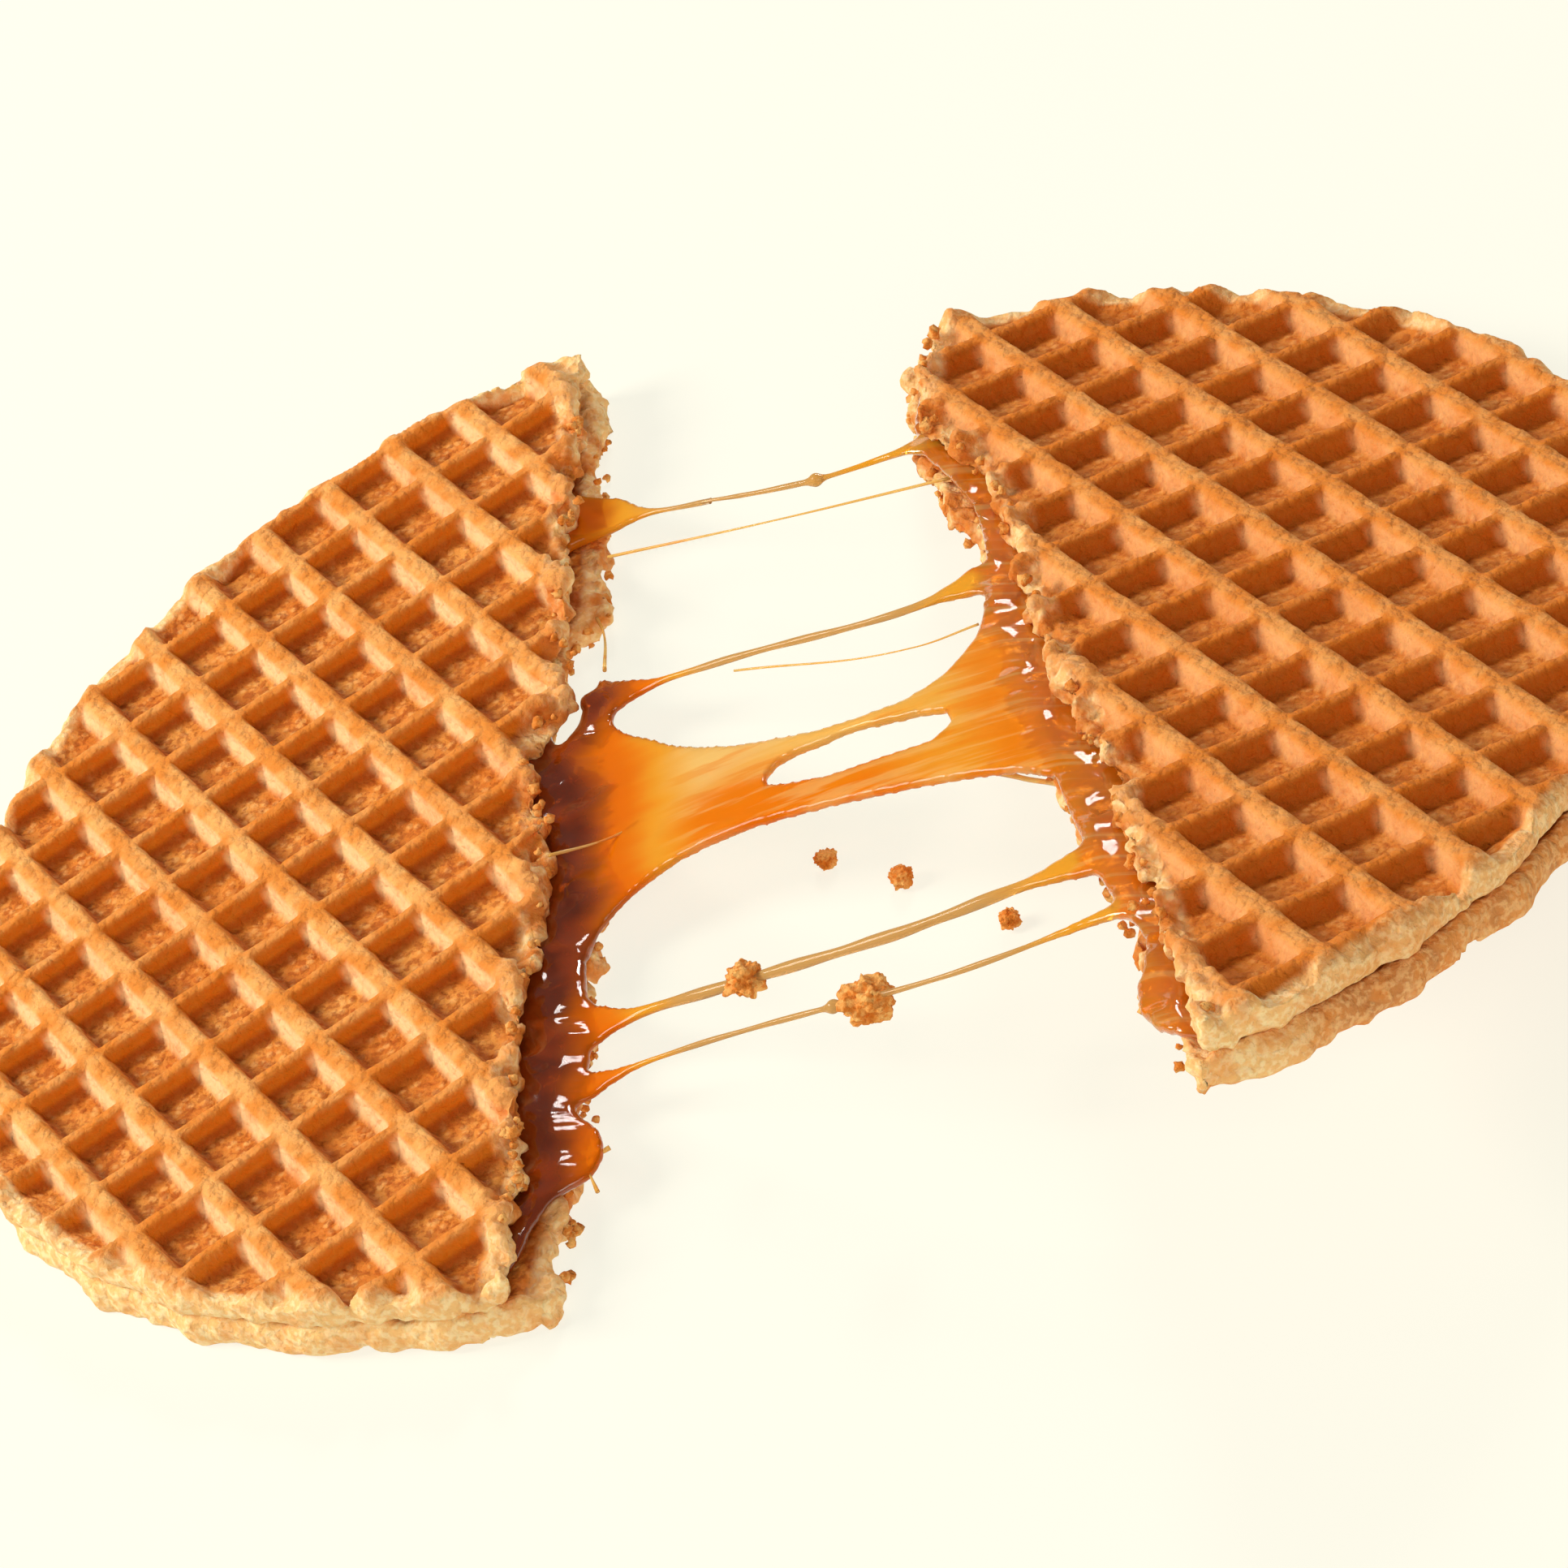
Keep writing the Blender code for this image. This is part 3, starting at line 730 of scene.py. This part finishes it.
def make_caramel(look, settings):
    """The caramel between the halves, in one smooth body, and its plain layers under the wafers."""
    body = copy_of("caramel", "caramel_pull")
    cut_away(body, CARAMEL_LEFT_END, keep_left=False)
    cut_away(body, CARAMEL_RIGHT_END, keep_left=True)
    apply_modifier(body, "REMESH", mode="VOXEL", voxel_size=settings.grain)
    apply_modifier(body, "SMOOTH", factor=0.5, iterations=settings.smoothing)
    plan = read(body, "co")[:, :2] / MM
    refine(body, np.any([line_distance(line[1:-1], plan) < 1.0 for line, _, _ in STRANDS], axis=0))
    mark_roots(body)
    points, normals = read(body, "co"), read(body, "normal")

    # Lumps near the left root, and the caramel behind the web drawn back under its wafer
    away = line_distance(LEFT["tear_top"], into_half(LEFT, points)[:, :2])
    push = 0.04 * lumps(points / MM, 3.0, 21) + 0.18 * np.exp(-away / 2.5) * lumps(points / MM, 1.3, 22)
    points = points / MM + normals * push[:, None]
    hidden = step(BACK_STRAND_ROOT, BACK_STRAND_ROOT + 2, points[:, 1]) * (points[:, 0] < -10)
    hidden *= step(1.2, 3.0, line_distance(STRANDS[0][0][:2], points[:, :2]))
    points[:, 0] -= 2.3 * hidden
    for line, radius, bead in STRANDS:
        points = draw_out(points, line, radius, bead)
    write(body, boxed(points * MM))
    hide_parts("caramel")
    finish_piece(body, look)

    for side, line in (("left", CARAMEL_LEFT_END), ("right", CARAMEL_RIGHT_END)):
        layer = copy_of("caramel", f"caramel_layer_{side}")
        cut_away(layer, line, keep_left=side == "left")
        apply_modifier(layer, "BEVEL", width=0.25 * MM, segments=2, limit_method="ANGLE")
        mark_roots(layer)
        finish_piece(layer, look)


def caramel_look(settings):
    """Clear stretched caramel: pale gold where thin, orange along the pull, red brown at the roots."""
    look = Look("stretched_caramel")
    left, right = look.mark("from_left"), look.mark("from_right")
    front, strands = look.mark("from_front"), look.mark("from_strand")
    streak = look.noise(1.8, 2.0, stretch=(0.07, 1.0, 0.3))
    cloud = look.noise(5.0, 2.0, stretch=(0.4, 1.0, 1.0))
    wander = (cloud - 0.5) * 4.0 + (streak - 0.5) * 2.0
    left, right = left + wander, right + wander
    thread = look.noise(0.8, 3.0, stretch=(0.05, 1.0, 0.3))

    # The web: pale streaks in its middle, orange at its front edge and towards the right root
    tone = look.blend(streak.ramp(0.44, 0.62) * 0.5, settings.pale, settings.gold)
    tone = look.blend((front + (streak - 0.5) * 4.0).ramp(7.5, 3.0), tone, settings.orange)
    tone = look.blend(right.ramp(13.0, 8.0) * 0.7, tone, settings.gold)
    tone = look.blend(right.ramp(8.0, 3.5) * 0.8, tone, settings.orange)
    tone = look.blend(right.ramp(2.5, 0.5) * 0.4, tone, settings.amber)
    tone = look.blend(thread.ramp(0.50, 0.66) * 0.5, tone, settings.pale)
    tone = look.blend(thread.ramp(0.46, 0.34) * 0.5, tone, settings.orange)

    # The strands: gold, and duller where they run thin
    tone = look.blend(strands.ramp(1.6, 0.8), tone, settings.gold)
    thin = strands.ramp(0.9, 0.5) * left.ramp(7.0, 12.0) * right.ramp(4.0, 9.0)
    tone = look.blend(thin * 0.85, tone, settings.thread)

    # Darker step by step towards the left root, and both roots uneven and glossy
    tone = look.blend(left.ramp(11.5, 7.5), tone, settings.gold)
    tone = look.blend(left.ramp(8.5, 5.0), tone, settings.orange)
    tone = look.blend(left.ramp(8.2, 4.0), tone, settings.amber)
    tone = look.blend(left.ramp(4.6, 1.6), tone, settings.deep)
    rough = left.ramp(5.0, 2.0) + right.ramp(3.5, 1.5)
    look.set(
        Base_Color=tone,
        Roughness=0.08,
        IOR=1.30,
        Transmission_Weight=0.5,
        Specular_IOR_Level=0.4,
        Coat_Weight=rough.least(1.0),
        Coat_IOR=1.6,
        Coat_Roughness=0.02,
    )
    look.bumps((streak, 0.06), (cloud, 0.2), (look.noise(2.6, 0.0) * rough, 0.8))
    return look


def make_hair(name, points, thickness):
    """A tube through the given points, thick at its ends and thin between."""
    bpy.ops.object.select_all(action="DESELECT")
    curve = bpy.data.curves.new(name, "CURVE")
    curve.dimensions = "3D"
    curve.bevel_depth = thickness * MM
    curve.bevel_resolution = 3
    curve.use_fill_caps = True
    spline = curve.splines.new("BEZIER")
    spline.bezier_points.add(len(points) - 1)
    for index, (knot, point) in enumerate(zip(spline.bezier_points, points)):
        knot.co = Vector(point) * MM
        knot.handle_left_type = knot.handle_right_type = "AUTO"
        knot.radius = 1.5 if index in (0, len(points) - 1) else 0.8
    holder = bpy.data.objects.new(name, curve)
    bpy.context.scene.collection.objects.link(holder)
    only(holder)
    bpy.ops.object.convert(target="MESH")
    return weld(bpy.context.active_object)


def colour(label, text, default):
    """A colour that a user can change."""
    return FloatVectorProperty(name=label, description=text, subtype="COLOR", size=3, default=default)


class StroopwafelCrust(bpy.types.PropertyGroup):
    """Colours and grain of the wafers."""

    ridge: colour("Ridge", "Colour along the ridges", (0.78, 0.26, 0.035))
    ridge_pale: colour("Pale ridge", "Palest colour on the ridges", (0.90, 0.44, 0.13))
    pit: colour("Pit", "Colour of the pit floors", (0.68, 0.20, 0.022))
    pit_light: colour("Light pit", "Lightest colour of the pit floors", (0.80, 0.32, 0.06))
    # Painted shade in the corners of the pits and on the shaded side of each pit, as well as the dark grains
    # of the pit floors
    pit_dark_and_shade: colour("Dark pit", "Colour in the corners of the pits", (0.34, 0.055, 0.001))
    # Painted shade: the colour of the side of each pit that faces away from the key light
    side: colour("Browned side", "Colour of the side of each pit that browned most", (0.72, 0.18, 0.002))
    # Painted light: the colour of the side of each pit that faces the key light
    pale_side: colour("Pale side", "Colour of the side of each pit that stayed pale", (0.96, 0.60, 0.29))
    # Also painted shade along the crosswise ridges, as well as the browning of the crust and crumb
    brown: colour("Browning", "Colour of the browner patches", (0.66, 0.17, 0.006))
    crumb: colour("Crumb", "Colour of the open crumb on walls and tears", (0.99, 0.73, 0.38))
    crumb_dark: colour("Dark crumb", "Colour in the pores of the crumb", (0.88, 0.46, 0.13))
    wafer_grain: FloatProperty(
        name="Grain", description="Size of the mesh of the wafers", subtype="DISTANCE", default=0.285 * MM
    )
    rounding: IntProperty(name="Rounding", description="How far the print is rounded over", default=2)
    crumbs: IntProperty(name="Crumbs", description="Crumbs that cling to each tear", default=100)


class StroopwafelCaramel(bpy.types.PropertyGroup):
    """Colours and fineness of the caramel."""

    pale: colour("Pale", "Colour of the thinnest caramel", (0.93, 0.62, 0.20))
    gold: colour("Gold", "Colour of the stretched caramel", (0.91, 0.43, 0.03))
    orange: colour("Orange", "Colour where the caramel is thicker", (0.89, 0.24, 0.001))
    amber: colour("Amber", "Colour near the roots", (0.84, 0.19, 0.002))
    thread: colour("Thread", "Colour of the strands where they run thin", (0.66, 0.40, 0.15))
    deep: colour("Deep", "Colour of the thickest caramel", (0.36, 0.05, 0.003))
    grain: FloatProperty(
        name="Grain", description="Size of the mesh of the caramel", subtype="DISTANCE", default=0.255 * MM
    )
    smoothing: IntProperty(name="Smoothing", description="How far the edges are rounded", default=10)


class StroopwafelStage(bpy.types.PropertyGroup):
    """Floor, light and camera."""

    floor: colour("Floor", "Colour of the floor", (1.0, 0.985, 0.86))
    key: FloatProperty(name="Key light", description="Strength of the light from the left", default=5.2)
    fill: FloatProperty(name="Fill light", description="Strength of the light from in front", default=2.7)
    back: FloatProperty(name="Back light", description="Strength of the light from behind", default=3.2)
    sky: FloatProperty(name="Soft light", description="Strength of the light from all round", default=0.12)
    lens: FloatProperty(name="Lens", description="Focal length", unit="CAMERA", default=143.96)


class STROOPWAFEL_OT_wafers(bpy.types.Operator):
    """Bake the four wafers"""

    bl_idname = "stroopwafel.wafers"
    bl_label = "Bake the wafers"

    def execute(self, context):
        crust = context.scene.stroopwafel_crust
        left = crust_look("left_crust", crust, 0.0, 1.0)
        right = crust_look("right_crust", crust, 1.0, 0.75)
        base = crust_look("right_base_crust", crust, 1.0, 0.3)
        make_wafer(LEFT, "left", "bottom", left, crust)
        make_wafer(LEFT, "left", "top", left, crust)
        make_wafer(RIGHT, "right", "bottom", base, crust)
        make_wafer(RIGHT, "right", "top", right, crust)
        return {"FINISHED"}


class STROOPWAFEL_OT_crumbs(bpy.types.Operator):
    """Leave crumbs along the tears and let a few fall"""

    bl_idname = "stroopwafel.crumbs"
    bl_label = "Scatter the crumbs"

    def execute(self, context):
        crust = context.scene.stroopwafel_crust
        look = crumb_look(crust)
        for half, side in ((LEFT, "left"), (RIGHT, "right")):
            tear_crumbs(half, side, look, crust.crumbs)
        for number, (place, width) in enumerate(CRUMBS, 1):
            loose_crumb(number, place, width, look)
        return {"FINISHED"}


class STROOPWAFEL_OT_caramel(bpy.types.Operator):
    """Pull the caramel between the halves"""

    bl_idname = "stroopwafel.caramel"
    bl_label = "Pull the caramel"

    def execute(self, context):
        settings = context.scene.stroopwafel_caramel
        look = caramel_look(settings)
        make_caramel(look, settings)
        hairs = [make_hair(f"hair_{number}", *hair) for number, hair in enumerate(HAIRS)]
        for hair in hairs:
            hair.select_set(True)
        bpy.ops.object.join()
        joined = bpy.context.active_object
        joined.name = "caramel_hairs"
        mark_roots(joined, 20.0)
        finish_piece(joined, look)
        return {"FINISHED"}


class STROOPWAFEL_OT_stage(bpy.types.Operator):
    """Set the pale floor, the soft light and the camera"""

    bl_idname = "stroopwafel.stage"
    bl_label = "Set the stage"

    def execute(self, context):
        scene = context.scene
        stage = scene.stroopwafel_stage
        bpy.ops.object.select_all(action="DESELECT")
        bpy.ops.mesh.primitive_plane_add(size=6, location=(0, 0, 0))
        floor = bpy.context.active_object
        floor.name = "floor"
        look = Look("pale_floor")
        look.set(
            Base_Color=tuple(FLOOR_SHARE * part for part in stage.floor),
            Roughness=0.9,
            Specular_IOR_Level=0.0,
            Emission_Color=tuple(stage.floor),
            Emission_Strength=FLOOR_GLOW,
        )
        floor.data.materials.append(look.material)

        world = bpy.data.worlds.new("soft_room")
        scene.world = world
        world.use_nodes = True
        back = world.node_tree.nodes["Background"]
        back.inputs["Color"].default_value = (*ROOM_COLOUR, 1)
        back.inputs["Strength"].default_value = stage.sky

        for name, (place, size, colour) in LIGHTS.items():
            bpy.ops.object.light_add(type="AREA", location=place)
            lamp = bpy.context.active_object
            lamp.name = name
            lamp.data.size = size
            lamp.data.energy = getattr(stage, name)
            lamp.data.color = colour
            lamp.rotation_mode = "QUATERNION"
            lamp.rotation_quaternion = (-Vector(place)).to_track_quat("-Z", "Y")

        camera = bpy.data.cameras.new("camera")
        camera.lens = stage.lens
        camera.clip_start = 0.01
        eye = bpy.data.objects.new("camera", camera)
        scene.collection.objects.link(eye)
        place, aim = Vector(CAMERA_PLACE) * MM, Vector(CAMERA_AIM) * MM
        eye.location = place
        eye.rotation_mode = "QUATERNION"
        roll = Quaternion((0, 0, 1), math.radians(CAMERA_ROLL))
        eye.rotation_quaternion = (aim - place).to_track_quat("-Z", "Y") @ roll
        scene.camera = eye
        scene.view_settings.view_transform = "Standard"
        return {"FINISHED"}


class STROOPWAFEL_PT_panel(bpy.types.Panel):
    """Everything that makes the torn stroopwafel, in order"""

    bl_label = "Stroopwafel"
    bl_idname = "STROOPWAFEL_PT_panel"
    bl_space_type = "VIEW_3D"
    bl_region_type = "UI"
    bl_category = "Stroopwafel"

    def draw(self, context):
        for step_class in STEPS:
            self.layout.operator(step_class.bl_idname)


STEPS = (STROOPWAFEL_OT_wafers, STROOPWAFEL_OT_crumbs, STROOPWAFEL_OT_caramel, STROOPWAFEL_OT_stage)
GROUPS = {
    "stroopwafel_crust": StroopwafelCrust,
    "stroopwafel_caramel": StroopwafelCaramel,
    "stroopwafel_stage": StroopwafelStage,
}
CLASSES = (*GROUPS.values(), *STEPS, STROOPWAFEL_PT_panel)


def register():
    for item in CLASSES:
        bpy.utils.register_class(item)
    for name, group in GROUPS.items():
        setattr(bpy.types.Scene, name, PointerProperty(type=group))


def unregister():
    for name in GROUPS:
        delattr(bpy.types.Scene, name)
    for item in reversed(CLASSES):
        bpy.utils.unregister_class(item)


def main():
    register()
    bpy.ops.stroopwafel.wafers()
    bpy.ops.stroopwafel.crumbs()
    bpy.ops.stroopwafel.caramel()
    bpy.ops.stroopwafel.stage()


if __name__ == "__main__":
    main()
